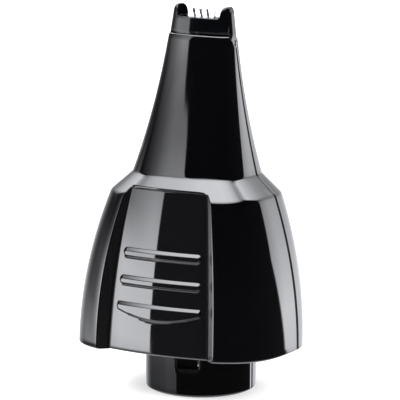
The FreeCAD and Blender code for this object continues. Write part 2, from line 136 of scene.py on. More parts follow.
# ---- sizes of the tip cap, in millimetres ----
CAP_FOOT = 46.9
CAP_TIP = 50.9
CAP_HALF = (5.05, 4.54)     # half width at foot and tip
CAP_FRONT = (2.57, 2.31)    # front depth at foot and tip
CAP_DOME = 0.85             # height of the prongs' rounded tops
CAP_DOME_POWER = 0.9        # below 1 the dome is fuller than a half ellipse
CAP_ROOF = 0.7              # wall left between the notch's floor and the cap's bore
NOTCH_FLOOR = 49.15
NOTCH_HALF = 3.45
NOTCH_FILLET = 0.45
NOTCH_LIP = 0.14
NOTCH_BAND = 0.2            # tops less than this above the notch's floor get its small lip
DEPTH_SHARE = 0.8           # most of a thin prong edge's depth that its round may take
TAIL_DROP = 1.45
TAIL_HALF = 1.45
TAIL_TIP = 0.15
TAIL_GAP = 0.10
TAIL_BLEND = 3.0            # height over which the nozzle's mouth gives way to the cap's tail
SIDE_INSET = 0.0005         # keeps the outermost slices inside the section, where it has depth
SIDE_FOOT = 0.02
SLICE_MINIMUM = 0.001
SKIRT_FOOT = 45.15
SKIRT_SLIP = 0.06
SKIRT_WALL = 0.3
SKIRT_RISE = 0.5            # how far the skirt reaches up into the cap
BLADE_SLOT = (3.2, -1.32, -0.28)    # half width, front and back
SLOT_REACH = (2.0, 1.0)     # how far the slot's tool goes below and above the notch's floor
TOOL_OVERSHOOT = 1.0

# ---- mesh density ----
ROUND_ROWS = 6              # rows over the rim's round and the bell's edge
CREASE_ROWS = 5             # rows over the crease and the mouth's round
SHOULDER_ROWS = 6           # rows on either part of the shoulder
LONG_ROWS = 30              # rows up the bell and up the nozzle
SEAM_STEPS = 40             # points from the seam to the recess
EDGE_STEPS = 5              # over the recess's rounded edge
WALL_STEPS = 4              # down its wall
FLOOR_STEPS = 10            # across its floor to the middle
REAR_STEPS = 52             # from the seam to the middle of the back
FRONT_CROWDING = 0.85       # below 1 the columns above the recess widen away from its corner
WEB_STEPS = 40
PANEL_ROW_STEPS = (0.055, 0.35)     # height of a row near the ribs and elsewhere, in millimetres
PANEL_ROW_MARGIN = 0.1
PANEL_FINE_FROM = 0.62      # share of the half width where the fine columns start
PANEL_COLUMNS = (14, 50)    # coarse and fine columns on one side
MOUTH_POINTS = 64
NOTCH_COLUMNS = 12          # slices over half of the notch's floor
ARC_STEPS = 7               # points over a quarter round of the cap or the spigot
PRONG_ROWS = 5              # slices up a prong's straight inside wall
DOME_COLUMNS = 19           # slices over a prong's rounded top
SIDE_ROWS = 16              # slices down the cap's outer side
CAP_ROWS = 9                # points up a wall of the cap, and over its top
FLOOR_POINTS = 96
SHARP_ANGLE = math.radians(35)
MERGE_DISTANCE = 1e-7
HALVINGS = 40
ALMOST_ONE = 0.999999
SMALL_TURN = 0.01
SIDEWAYS = (0.5, 0.4)       # least sideways share of a normal, for recess walls and prong walls

# ---- camera and studio ----
VIEW_AZIMUTH = math.radians(25.2)
VIEW_ELEVATION = math.radians(12.0)
VIEW_ROLL = math.radians(0.30)
VIEW_DISTANCE = 0.500
VIEW_TARGET = Vector((0, 0, 0.029))
FRAME_WIDTH = 0.060         # what the picture's width covers at the target, in metres
FRAME_SHIFT = (-0.00473, -0.00843)
SENSOR_WIDTH = 36.0
CLIP = (0.01, 20)
LIGHTS = (("key", (-0.35, -0.45, 0.55), 6), ("fill", (0.5, -0.2, 0.4), 3))    # place and power
LIGHT_SIZE = 0.4
LIGHT_TARGET = Vector((0, 0, 0.03))
FLOOR_RADIUS = 4.0
FLOOR_DROP = 0.00002
FLOOR_EMISSION = 0.35
SURROUND = 1.0

# What the glossy surfaces mirror, as (angle, brightness) stops in degrees. AROUND angles run round
# the object: 0 in front, negative to the left, past 180 behind on the left. UP angles are heights.
MIRROR_TINT = (0.97, 0.98, 1.02, 1)
LEFT_BOX_AROUND = ((-150, 0.03), (-125, 0.06), (-108, 0.12), (-95, 0.3), (-75, 0.5), (-60, 0.7),
                   (-48, 1.0), (-40, 1.0), (-28.6, 1.0), (-28.2, 0.0))
LEFT_BOX_UP = ((-24, 0.3), (-15, 0.8), (-11.5, 7.0), (-6, 11.0), (4, 10.6), (11, 7.8), (20, 3.6),
               (27, 2.7), (33, 2.9), (40, 4.2), (52, 3.0), (65, 0.0))
# two fades dim the left box sideways: one above level, one further out and from below level up
UPPER_FADE_AROUND = ((-110, 0.8), (-90, 0.7), (-70, 0.62), (-55, 0.62), (-48, 0.57), (-40, 0.28),
                     (-33, 0.0))
UPPER_FADE_UP = ((4, 0.0), (12, 1.0))
SIDE_FADE_AROUND = ((-105, 1.0), (-80, 0.9), (-55, 0.0))
SIDE_FADE_UP = ((-13, 0.0), (-8, 0.6), (-4, 0.85), (0, 0.92), (10, 0.97))
RIGHT_BOX_EDGE = 143
RIGHT_BOX_SOFTNESS = 2
RIGHT_BOX_LEAN = 0.8        # below level the box's edge moves back by this share of the angle
RIGHT_BOX_AROUND = ((90, 1.0), (154, 1.0), (162, 0.7), (172, 0.5), (190, 0.4), (230, 0.25), (260, 0.0))
RIGHT_BOX_UP = ((-40, 0.5), (-20, 3.0), (-14, 4.1), (-9, 4.5), (-5, 3.9), (0, 3.2), (8, 2.4), (20, 0.0))
TOP_BOX_UP = ((46, 0.0), (56, 7.5), (64, 11.0), (75, 13.0), (90, 13.0))
BACK_GLOW_AROUND = ((146, 0.0), (154, 1.0), (262, 1.0), (274, 0.0))
BACK_GLOW_UP = ((9, 0.0), (15, 0.6), (20, 1.5), (25, 2.5), (33, 4.8), (45, 9.0), (52, 5.0), (60, 0.0))
DARK_ROOM = ((0, 0.045), (24, 0.02))
FLOOR_GLOW = ((-60, 2.0), (-38, 2.0), (-22, 0.0))


# ---- small helpers ----
def clamp(share):
    """Keeps a share between 0 and 1."""
    return min(1.0, max(0.0, share))


def smooth(share):
    """Eases from 0 to 1 without corners."""
    share = clamp(share)
    return share * share * (3 - 2 * share)


def between(pair, share):
    """Value a share of the way from a pair's first number to its second."""
    return pair[0] + (pair[1] - pair[0]) * share


def mix(a, b, share):
    """Point a share of the way from a to b."""
    return tuple(p + (q - p) * share for p, q in zip(a, b))


def grown(size, step):
    """A section size with every value larger by a step."""
    return tuple(value + step for value in size)


def spread(low, high, count):
    """Evenly spaced values from low to high, both included."""
    return [low + (high - low) * i / (count - 1) for i in range(count)]


def chain(start, stops):
    """Values from a start through (value, count) stops, evenly spaced between neighbours."""
    values = [start]
    for value, count in stops:
        values += spread(values[-1], value, count)[1:]
    return values


def bend(a, corner, b, count):
    """A rounded corner: points from a to b that lean towards the corner."""
    return [mix(mix(a, corner, share), mix(corner, b, share), share) for share in spread(0, 1, count)]


def mirrored(half):
    """A right half that ends in the middle, carried on over the left."""
    return half + [(-x, y) for x, y in half[-2::-1]]


def edge_inset(z, radius):
    """How far a rounded lower edge stands back at height z."""
    return radius - math.sqrt(max(0.0, radius ** 2 - (radius - min(z, radius)) ** 2))


def edge_heights(radius, count):
    """Heights up a rounded lower edge, evenly spaced round its arc."""
    return [radius * (1 - math.cos(turn)) for turn in spread(0, math.pi / 2, count)]


# ---- geometry of the head ----
def to_world(x, y, z):
    """A point of the leaning head's own frame, in metres in the row frame."""
    cosine, sine = math.cos(LEAN), math.sin(LEAN)
    return Vector((x, RIM_SHIFT + y * cosine + z * sine, RIM_HEIGHT - y * sine + z * cosine)) * MM


def seam_y(z, side):
    """Depth of the parting plane at height z; side -1 is the front shell's edge, 1 the rear's."""
    return (-RIM_SHIFT + side * SEAM_GAP / 2 - z * math.sin(LEAN)) / math.cos(LEAN)


def oval(turn, size):
    """Point of a superellipse section; size is half width, front depth and back depth."""
    half, front, back = size
    cosine, sine = math.cos(turn), math.sin(turn)
    reach = (abs(cosine) ** SQUARENESS + abs(sine) ** SQUARENESS) ** (-1 / SQUARENESS)
    return half * reach * cosine, (back if sine > 0 else front) * reach * sine


def across(share):
    """Share of a section's depth at a share of its width, or the other way round."""
    return (1 - share ** SQUARENESS) ** (1 / SQUARENESS)


def turn_at_y(y, size):
    """Angle on the right-hand side where the section reaches depth y."""
    share = min(ALMOST_ONE, abs(y) / (size[2] if y > 0 else size[1]))
    return math.copysign(math.atan2(share, across(share)), y)


def front_turn_at_x(x, size):
    """Angle on the front right where the section reaches x."""
    share = min(ALMOST_ONE, abs(x) / size[0])
    return -math.atan2(across(share), share)


def bell_size(z):
    """Section size of the bell, which draws in towards its top."""
    rise = z / BELL_HEIGHT
    half = BELL_HALF_WIDTH - BELL_PULL_IN * rise ** 2
    front = half * between(BELL_DEPTH_RATIO, rise)
    return half, front, front * BACK_RATIO


def cone_size(z):
    """Section size of the nozzle, which flares out towards its base."""
    drop = (CONE_TOP - z) / (CONE_TOP - CONE_BASE)
    half = CONE_TOP_HALF_WIDTH + CONE_FLARE[0] * drop + CONE_FLARE[1] * drop ** 2
    front = half * between(CONE_DEPTH_RATIO, drop)
    return half, front, front * BACK_RATIO


def shoulder_size(z):
    """Section size of the straight slope between bell and nozzle."""
    return mix(bell_size(BELL_HEIGHT), cone_size(CONE_BASE), (z - BELL_HEIGHT) / (CONE_BASE - BELL_HEIGHT))


def rounded_joint(height, low, high, size_below, size_above, count):
    """Levels that round the edge between two surfaces at a height."""
    below, above = (low, *size_below(low)), (high, *size_above(high))
    return bend(below, (height, *size_below(height)), above, count)


def head_levels():
    """Heights with their outer section sizes, from the rim up to the mouth."""
    levels = []
    for turn in spread(0, math.pi / 2, ROUND_ROWS):
        z = RIM_ROUND * (1 - math.cos(turn))
        levels.append((z, *grown(bell_size(z), -RIM_ROUND * (1 - math.sin(turn)))))
    low = BELL_HEIGHT - BELL_EDGE_ROUND
    high = BELL_HEIGHT + BELL_EDGE_ROUND * SHOULDER_SHARE
    levels += [(z, *bell_size(z)) for z in spread(RIM_ROUND, low, LONG_ROWS)[1:-1]]
    levels += rounded_joint(BELL_HEIGHT, low, high, bell_size, shoulder_size, ROUND_ROWS)
    low = CONE_BASE - CREASE_ROUND * SHOULDER_SHARE
    shoulder = spread(high, PANEL_TOP - RECESS_STEP, SHOULDER_ROWS)[1:]
    shoulder += spread(PANEL_TOP + RECESS_STEP, low, SHOULDER_ROWS)[:-1]
    levels += [(z, *shoulder_size(z)) for z in shoulder]
    high = CONE_BASE + CREASE_ROUND
    levels += rounded_joint(CONE_BASE, low, high, shoulder_size, cone_size, CREASE_ROWS)
    levels += [(z, *cone_size(z)) for z in spread(high, CONE_TOP - MOUTH_ROUND, LONG_ROWS)[1:]]
    for turn in spread(0, math.pi / 2, CREASE_ROWS)[1:]:
        z = CONE_TOP - MOUTH_ROUND * (1 - math.sin(turn))
        levels.append((z, *grown(cone_size(z), -MOUTH_ROUND * (1 - math.cos(turn)))))
    return levels


def inner_size(z, outer):
    """Inside section at height z: thick in front behind the panel, thin at the mouth."""
    half, front, back = outer
    wall = between((NOZZLE_WALL, WALL), clamp((CONE_TOP - z) / (CONE_TOP - CONE_BASE)))
    start = BELL_HEIGHT - FRONT_WALL_FADE
    front_wall = between((FRONT_WALL, wall), clamp((z - start) / (CONE_BASE - start)))
    return half - wall, front - front_wall, back - wall


# ---- panel surface ----
def panel_half(z):
    """The panel's half width: a straight taper with sides that bow out most at mid height."""
    share = clamp(z / PANEL_TOP)
    return between(PANEL_HALF, z / PANEL_TOP) + 4 * PANEL_BULGE * share * (1 - share)


def panel_y(z, x):
    """Depth of the panel's face, which is round in plan and pulled in towards its top."""
    centre = -(PANEL_FRONT - PANEL_PULL_IN * (z / PANEL_TOP) ** 2)
    return centre + PANEL_PLAN_R - math.sqrt(PANEL_PLAN_R ** 2 - x ** 2)


def bevel(share):
    """Height share over a straight bevel whose upper corner is rounded."""
    share = clamp(share)
    straight = 1 - RIB_CORNER / 2
    if share < 1 - RIB_CORNER:
        return share / straight
    left = (1 - share) / RIB_CORNER
    return 1 - left * left * RIB_CORNER / 2 / straight


def slot_rib(x, z, level, half):
    """Height share of a rib with straight edges and round ends."""
    r = RIB_HEIGHT / 2
    along = max(0.0, abs(x) - (half - r))
    up = z - level
    inside = r - math.hypot(along, up)
    slope = between((RIB_UPPER_SLOPE if up > 0 else RIB_LOWER_SLOPE, RIB_END_SLOPE), min(1.0, along / r))
    return bevel(inside / slope)


def low_rib(x, z):
    """Height share of the lowest rib, which has a straight top edge and a bowed lower one."""
    top, half, middle, end = LOW_RIB
    share = min(1.0, abs(x) / half)
    bottom = top - end - (middle - end) * (1 - share ** 2)
    sides = (half - abs(x), RIB_END_SLOPE), (top - z, RIB_UPPER_SLOPE), (z - bottom, RIB_LOWER_SLOPE)
    if min(depth for depth, _ in sides) <= 0:
        return 0.0
    lows = [max(0.0, 1 - depth / slope) for depth, slope in sides]
    return bevel(1 - min(1.0, math.sqrt(sum(value ** 2 for value in lows))))


def rib_height(x, z):
    """How far the ribs stand out of the panel at a point."""
    return RIB_PROUD * max(low_rib(x, z), *[slot_rib(x, z, level, half) for level, half in RIBS])


# ---- mesh building ----
def link_mesh(name, bm):
    """Turns a bmesh into a linked object."""
    mesh = bpy.data.meshes.new(name)
    bm.to_mesh(mesh)
    bm.free()
    obj = bpy.data.objects.new(name, mesh)
    bpy.context.scene.collection.objects.link(obj)
    return obj


def new_piece(name, bm, material, body, node=None):
    """Finishes a bmesh as a piece that rides on a body and may stand for a node."""
    bmesh.ops.remove_doubles(bm, verts=bm.verts, dist=MERGE_DISTANCE)
    bmesh.ops.recalc_face_normals(bm, faces=bm.faces)
    piece = link_mesh(name, bm)
    piece.data.materials.append(material)
    for face in piece.data.polygons:
        face.use_smooth = True
    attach(piece, body)
    if node:
        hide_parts(node)
    return piece


def skin(bm, rows, closed=False):
    """Joins rows of points with quads, all the way round if closed, and returns the vertex rows."""
    made = [[bm.verts.new(point) for point in row] for row in rows]
    for below, above in zip(made, made[1:]):
        count = len(below)
        for i in range(count if closed else count - 1):
            j = (i + 1) % count
            bm.faces.new((below[i], below[j], above[j], above[i]))
    return made


def loop_of(rows):
    """The border of a grid of vertices, in order."""
    right = [row[-1] for row in rows[1:-1]]
    left = [row[0] for row in rows[1:-1]]
    return rows[0] + right + rows[-1][::-1] + left[::-1]


def stitch(bm, first, second):
    """Closes the gap between two borders of equal length."""
    count = len(first)
    for i in range(count):
        j = (i + 1) % count
        bm.faces.new((first[i], first[j], second[j], second[i]))


def thick_skin(bm, outer_rows, inner_rows):
    """A closed body between an outer and an inner grid of points."""
    outer, inner = skin(bm, outer_rows), skin(bm, inner_rows)
    stitch(bm, loop_of(outer), loop_of(inner))


# ---- shells ----
def seam_stations(turn_seam, turn_end, size, count, y_edge):
    """Points along the section from the parting line, where the edge has a small round."""
    points = [oval(turn, size) for turn in spread(turn_seam, turn_end, count)]
    points[0] = (points[0][0] - SEAM_ROUND, y_edge)
    return points


def recess_corner(z, size):
    """The panel's edge and the point where the splayed side wall leaves the section."""
    foot = (panel_half(z) + PANEL_GAP, panel_y(z, panel_half(z)))
    far = (foot[0] + RECESS_REACH * RECESS_SPLAY, foot[1] - RECESS_REACH)
    low, high = 0.0, 1.0
    for _ in range(HALVINGS):
        middle = (low + high) / 2
        x, y = mix(foot, far, middle)
        inside = (x / size[0]) ** SQUARENESS + (abs(y) / size[1]) ** SQUARENESS < 1
        low, high = (middle, high) if inside else (low, middle)
    return foot, mix(foot, far, low)


def front_above_recess(start, size, edge_y):
    """Right half of the front above the recess, with as many points as beside it."""
    stop = front_turn_at_x(panel_half(PANEL_TOP) + RECESS_MARGIN, shoulder_size(PANEL_TOP))
    points = seam_stations(start, stop, size, SEAM_STEPS, edge_y)
    for share in spread(0, 1, EDGE_STEPS + WALL_STEPS + FLOOR_STEPS + 1)[1:]:
        points.append(oval(between((stop, -math.pi / 2), share ** FRONT_CROWDING), size))
    points[-1] = (0.0, points[-1][1])
    return points


def front_beside_recess(z, start, size, edge_y):
    """Right half of the front at the recess: section, rounded edge, side wall and floor."""
    foot, corner = recess_corner(z, size)
    depth = math.dist(foot, corner)
    edge_round = min(RECESS_EDGE_ROUND, depth * RECESS_ROUND_SHARE)
    stop = front_turn_at_x(corner[0], size)
    stop += SMALL_TURN * edge_round / math.dist(oval(stop + SMALL_TURN, size), corner)
    points = seam_stations(start, stop, size, SEAM_STEPS, edge_y)
    on_wall = mix(corner, foot, edge_round / depth)
    points += bend(points[-1], corner, on_wall, EDGE_STEPS + 1)[1:]
    points += [mix(on_wall, foot, share) for share in spread(0, 1, WALL_STEPS)[1:]]
    for x in spread(foot[0], 0.0, FLOOR_STEPS + 1):
        points.append((x, panel_y(z, min(x, panel_half(z))) + RECESS_FLOOR))
    return points


def front_half_outline(z, size):
    """Right half of the front shell's outline at height z, from the seam to the middle."""
    edge_y = seam_y(z, -1)
    start = turn_at_y(edge_y - SEAM_ROUND, size)
    if z > PANEL_TOP:
        return front_above_recess(start, size, edge_y)
    return front_beside_recess(z, start, size, edge_y)


def rear_half_outline(z, size):
    """Right half of the rear shell's outline, from the seam to the middle of the back."""
    edge_y = seam_y(z, 1)
    points = seam_stations(turn_at_y(edge_y + SEAM_ROUND, size), math.pi / 2, size, REAR_STEPS, edge_y)
    points[-1] = (0.0, points[-1][1])
    return points


def inward(points, size, z, side):
    """Each outer point's partner on the inside wall, kept on its own side of the seam."""
    inner = inner_size(z, size)
    edge = seam_y(z, side)
    result = []
    for x, y in points:
        turn = math.atan2(y / (size[2] if y > 0 else size[1]), x / size[0])
        inner_x, inner_y = oval(turn, inner)
        if (inner_y - edge) * side < 0:
            inner_y = edge + side * SEAM_CLEAR
        result.append((inner_x, inner_y))
    seam_x = oval(turn_at_y(edge, inner), inner)[0]
    result[0] = (seam_x, edge)
    result[-1] = (-seam_x, edge)
    return result


def tail_drop(y, gap=0.0):
    """How far the cap's V tail, or its gap in the nozzle, reaches below the mouth at depth y."""
    return (TAIL_DROP + gap) * clamp((TAIL_HALF + gap - abs(y)) / (TAIL_HALF - TAIL_TIP))


def notched(point, depth, z, sink):
    """Lowers a point near the mouth where the cap's tail needs room; the cone widens below."""
    low = z - sink * tail_drop(depth, TAIL_GAP)
    wide = cone_size(low)[0] / cone_size(z)[0] if low < z else 1.0
    return to_world(point[0] * wide, point[1], low)


def shell_piece(name, half_outline, side, material, body, node):
    """One shell of the housing, with its inside wall and the notches for the cap's tails."""
    outer_rows, inner_rows = [], []
    for z, *size in head_levels():
        points = mirrored(half_outline(z, size))
        inside = inward(points, size, z, side)
        sink = smooth((z - CONE_TOP + TAIL_BLEND) / TAIL_BLEND) ** 2
        outer_rows.append([notched(point, point[1], z, sink) for point in points])
        inner_rows.append([notched(point, pair[1], z, sink) for point, pair in zip(inside, points)])
    bm = bmesh.new()
    thick_skin(bm, outer_rows, inner_rows)
    return new_piece(name, bm, material, body, node)


def finish_recess_walls(shell, material):
    """Gives the side walls of the panel's recess a finish of their own."""
    shell.data.materials.append(material)
    for face in shell.data.polygons:
        x, y, _ = face.center / MM
        beside_panel = RECESS_SIDES[0] < abs(x) < RECESS_SIDES[1] and y < RECESS_BACK
        to_middle = abs(face.normal.x) > SIDEWAYS[0] and face.normal.x * x < 0
        if beside_panel and to_middle and face.normal.y < 0:
            face.material_index = 1


# ---- spigot and web ----
def round_point(r, angle, z, side):
    """Point of the upright spigot, at an angle from the middle of its front or back."""
    return Vector((-side * r * math.sin(angle), side * r * math.cos(angle), z)) * MM


def latch_depth(angle, z):
    """Depth of the latch pocket at an angle from the middle of the front."""
    x = SPIGOT_R * math.sin(angle)
    inside = min(x - LATCH_ACROSS[0], LATCH_ACROSS[1] - x, z - LATCH_UP[0], LATCH_UP[1] - z)
    return LATCH_DEPTH * smooth(inside / LATCH_EDGE)


def spigot_half(name, side, material, body):
    """Half of the round spigot, with the latch pocket in front and rounded lower edges."""
    left, right = [math.asin(x / SPIGOT_R) for x in LATCH_ACROSS]
    limit = math.pi / 2 - SEAM_GAP / 2 / SPIGOT_R
    fine = LATCH_EDGE / SPIGOT_R
    angles = chain(-limit, ((left, 30), (left + fine, 5), (right - fine, 12), (right, 5), (limit, 24)))
    low, high = LATCH_UP
    pocket_stops = ((low, 6), (low + LATCH_EDGE, 5), (high - LATCH_EDGE, 5), (high, 5))
    heights = edge_heights(SPIGOT_ROUND, ARC_STEPS) + chain(SPIGOT_ROUND, pocket_stops)[1:]
    heights.append(RIM_HEIGHT + SPIGOT_RISE)
    outside, inside = [], []
    for z in heights:
        r = SPIGOT_R - edge_inset(z, SPIGOT_ROUND)
        depths = [latch_depth(angle, z) if side < 0 else 0.0 for angle in angles]
        outside.append([round_point(r - depth, angle, z, side) for angle, depth in zip(angles, depths)])
        r = SOCKET_R + SOCKET_LEAD[0] * max(0.0, 1 - z / SOCKET_LEAD[1])
        inside.append([round_point(r, angle, z, side) for angle in angles])
    bm = bmesh.new()
    thick_skin(bm, outside, inside)
    return new_piece(name, bm, material, body)


def web_half(name, side, material, body):
    """The floor between the spigot and the housing's wall."""
    limit = math.pi / 2 - SEAM_GAP / 2 / SPIGOT_R
    r = SPIGOT_R - WEB_INTO_SPIGOT
    rings = []
    for z in WEB_HEIGHTS:
        size = grown(inner_size(z, bell_size(z)), WEB_INTO_WALL)
        start = turn_at_y(seam_y(z, side), size)
        half = [oval(turn, size) for turn in spread(start, side * math.pi / 2, WEB_STEPS)]
        half[-1] = (0.0, half[-1][1])
        outline = mirrored(half)
        centre = seam_y(z, 0)
        angles = spread(limit, -limit, len(outline))
        hole = [(r * math.sin(angle), centre + side * r * math.cos(angle)) for angle in angles]
        rings.append([[to_world(x, y, z) for x, y in ring] for ring in (outline, hole)])
    (low_outline, low_hole), (high_outline, high_hole) = rings
    bm = bmesh.new()
    rows = skin(bm, [low_hole, low_outline, high_outline, high_hole])
    first, last = rows[0], rows[-1]
    for i in range(len(first) - 1):
        bm.faces.new((last[i], last[i + 1], first[i + 1], first[i]))
    for i in (0, -1):
        bm.faces.new([row[i] for row in rows])
    return new_piece(name, bm, material, body)


# ---- thumb panel ----
def panel_rows():
    """Heights of the panel's rows: close together over the ribs."""
    bands = [(level - RIB_HEIGHT / 2, level + RIB_HEIGHT / 2) for level, _ in RIBS]
    bands.append((LOW_RIB[0] - LOW_RIB[2], LOW_RIB[0]))
    margin = PANEL_ROW_MARGIN
    top = PANEL_TOP - PANEL_GAP
    heights = edge_heights(RIM_ROUND, ROUND_ROWS)
    z = RIM_ROUND
    while z < PANEL_TOP - margin:
        near_rib = any(low - margin < z < high + margin for low, high in bands)
        z += PANEL_ROW_STEPS[0] if near_rib else PANEL_ROW_STEPS[1]
        heights.append(min(z, top))
    if heights[-1] < top:
        heights.append(top)
    return heights


def panel_columns():
    """Shares of the half width: close together over the ribs' ends."""
    coarse, fine = PANEL_COLUMNS
    half = chain(0, ((PANEL_FINE_FROM, coarse), (1.0, fine)))
    return [-share for share in half[:0:-1]] + half


def grip_panel(material, body):
    """The thumb panel with its three raised ribs."""
    front, back = [], []
    for z in panel_rows():
        inset = edge_inset(z, RIM_ROUND)
        places = [share * (panel_half(z) - PANEL_GAP) for share in panel_columns()]
        front.append([to_world(x, panel_y(z, x) + inset - rib_height(x, z), z) for x in places])
        back.append([to_world(x, panel_y(z, x) + PANEL_THICK, z) for x in places])
    bm = bmesh.new()
    thick_skin(bm, front, back)
    return new_piece("thumb_panel", bm, material, body, "grip_panel")


# ---- tip cap ----
def cap_size(z):
    """Section size of the cap at height z."""
    rise = (z - CAP_FOOT) / (CAP_TIP - CAP_FOOT)
    front = between(CAP_FRONT, rise)
    return between(CAP_HALF, rise), front, front * BACK_RATIO


def cap_depth(x, z, back):
    """Depth of the cap's front or back wall at a point seen from the front."""
    half, front, rear = cap_size(z)
    return (rear if back else front) * across(min(1.0, abs(x) / half))


def cap_profile():
    """The cap's top seen from the front, right half: floor, notch wall, dome and outer side."""
    points = [(x, NOTCH_FLOOR) for x in spread(0, NOTCH_HALF - NOTCH_FILLET, NOTCH_COLUMNS)]
    for turn in spread(0, math.pi / 2, ARC_STEPS)[1:]:
        x = NOTCH_HALF - NOTCH_FILLET * (1 - math.sin(turn))
        points.append((x, NOTCH_FLOOR + NOTCH_FILLET * (1 - math.cos(turn))))
    dome_foot = CAP_TIP - CAP_DOME
    prong_wall = spread(NOTCH_FLOOR + NOTCH_FILLET, dome_foot, PRONG_ROWS)[1:]
    points += [(NOTCH_HALF, z) for z in prong_wall]
    top = cap_size(CAP_TIP)[0]
    for turn in spread(0, math.pi, DOME_COLUMNS)[1:-1]:
        x = (NOTCH_HALF + top) / 2 - (top - NOTCH_HALF) / 2 * math.cos(turn)
        points.append((x, CAP_TIP - CAP_DOME * (1 - math.sin(turn) ** CAP_DOME_POWER)))
    sides = spread(dome_foot, CAP_FOOT + SIDE_FOOT, SIDE_ROWS)
    return points + [(cap_size(z)[0] - SIDE_INSET, z) for z in sides]


def cap_slice(x, top):
    """The cap cut across at x: up the front wall, over the top and down the back wall."""
    walls = []
    for back in (False, True):
        in_notch = top < NOTCH_FLOOR + NOTCH_BAND
        lip = NOTCH_LIP if in_notch else min(CAP_DOME, cap_depth(x, top, back) * DEPTH_SHARE)
        foot = CAP_FOOT - tail_drop(cap_depth(x, CAP_FOOT, back))
        start = max(foot + SLICE_MINIMUM, top - lip)
        edge = cap_depth(x, start, back)
        wall = [(cap_depth(x, z, back), z) for z in spread(foot, start, CAP_ROWS)]
        for turn in spread(0, math.pi / 2, ARC_STEPS)[1:]:
            wall.append((edge - lip * (1 - math.cos(turn)), start + (top - start) * math.sin(turn)))
        walls.append(wall)
    front = [(-y, z) for y, z in walls[0]]
    rear = walls[1][::-1]
    over = [(y, top) for y in spread(front[-1][0], rear[0][0], CAP_ROWS)[1:-1]]
    return front + over + rear


def tool_body(name, outline, low, high):
    """A closed tool body that stands on an outline."""
    bm = bmesh.new()
    floor, roof = skin(bm, [[to_world(x, y, z) for x, y in outline] for z in (low, high)], closed=True)
    bm.faces.new(floor[::-1])
    bm.faces.new(roof)
    bmesh.ops.recalc_face_normals(bm, faces=bm.faces)
    return link_mesh(name, bm)


def mouth_outline(inset):
    """The nozzle's mouth, moved in by an inset."""
    size = grown(cone_size(CONE_TOP), -inset)
    return [oval(2 * math.pi * i / MOUTH_POINTS, size) for i in range(MOUTH_POINTS)]


def apply_tools(piece, tools):
    """Adds or cuts away each tool body in turn, and keeps the result as the piece's mesh."""
    for operation, tool in tools:
        modifier = piece.modifiers.new(operation, "BOOLEAN")
        modifier.operation = operation
        modifier.solver = "EXACT"
        modifier.object = tool
    bpy.context.view_layer.update()
    evaluated = piece.evaluated_get(bpy.context.evaluated_depsgraph_get())
    cut_mesh = bpy.data.meshes.new_from_object(evaluated)
    piece.modifiers.clear()
    piece.data = cut_mesh
    for _, tool in tools:
        bpy.data.objects.remove(tool)
    cut_mesh.set_sharp_from_angle(angle=SHARP_ANGLE)


def tip_cap(material, notch_shade_material, body):
    """The cap: two prongs, a notch between them, V tails, and a skirt inside the nozzle."""
    half = cap_profile()
    profile = [(-x, z) for x, z in half[:0:-1]] + half
    bm = bmesh.new()
    rows = skin(bm, [[to_world(x, y, z) for y, z in cap_slice(x, top)] for x, top in profile])
    for below, above in zip(rows, rows[1:]):
        bm.faces.new((below[0], below[-1], above[-1], above[0]))
    bm.faces.new(rows[0])
    bm.faces.new(rows[-1][::-1])
    bmesh.ops.dissolve_degenerate(bm, dist=MERGE_DISTANCE, edges=bm.edges)
    cap = new_piece("tip_cap", bm, material, body, "blade_cap")
    inset = NOZZLE_WALL + SKIRT_SLIP
    skirt = tool_body("skirt", mouth_outline(inset), SKIRT_FOOT, CAP_FOOT + SKIRT_RISE)
    bore_outline = mouth_outline(inset + SKIRT_WALL)
    bore = tool_body("bore", bore_outline, SKIRT_FOOT - TOOL_OVERSHOOT, NOTCH_FLOOR - CAP_ROOF)
    x, front, back = BLADE_SLOT
    slot_outline = [(x, front), (x, back), (-x, back), (-x, front)]
    slot = tool_body("slot", slot_outline, NOTCH_FLOOR - SLOT_REACH[0], NOTCH_FLOOR + SLOT_REACH[1])
    apply_tools(cap, [("UNION", skirt), ("DIFFERENCE", bore), ("DIFFERENCE", slot)])
    # The prong walls facing the notch get the unreflecting black: painted shade for the notch's inside.
    cap.data.materials.append(notch_shade_material)
    floor_height = to_world(0, 0, NOTCH_FLOOR).z
    for face in cap.data.polygons:
        x, _, z = face.center
        to_middle = abs(face.normal.x) > SIDEWAYS[1] and face.normal.x * x < 0
        if to_middle and z > floor_height and abs(x / MM) > NOTCH_HALF - 2 * NOTCH_FILLET:
            face.material_index = 1
    return cap


# ---- materials ----
def node_tree(name):
    """A new node material: itself, its nodes, its links and its shader."""
    material = bpy.data.materials.new(name)
    material.use_nodes = True
    nodes = material.node_tree.nodes
    return material, nodes, material.node_tree.links, nodes["Principled BSDF"]


def noise(nodes, links, scale, detail, stretch=None):
    """Noise in metres of the object, so that its grain has a real size."""
    place = nodes.new("ShaderNodeTexCoord")
    texture = nodes.new("ShaderNodeTexNoise")
    texture.inputs["Scale"].default_value = scale
    texture.inputs["Detail"].default_value = detail
    source = place.outputs["Object"]
    if stretch:
        mapping = nodes.new("ShaderNodeMapping")
        mapping.inputs["Scale"].default_value = stretch
        links.new(source, mapping.inputs["Vector"])
        source = mapping.outputs["Vector"]
    links.new(source, texture.inputs["Vector"])
    return texture.outputs["Fac"]


def ramp(nodes, links, source, low, high, out_low, out_high):
    """Maps low..high to out_low..out_high in a straight line."""
    convert = nodes.new("ShaderNodeMapRange")
    for name, value in (("From Min", low), ("From Max", high), ("To Min", out_low), ("To Max", out_high)):
        convert.inputs[name].default_value = value
    links.new(source, convert.inputs["Value"])
    return convert.outputs["Result"]


def math_node(nodes, links, operation, *values):
    """Result of a math operation on numbers or other nodes' outputs."""
    node = nodes.new("ShaderNodeMath")
    node.operation = operation
    for i, value in enumerate(values):
        if isinstance(value, (int, float)):
            node.inputs[i].default_value = value
        else:
            links.new(value, node.inputs[i])
    return node.outputs["Value"]


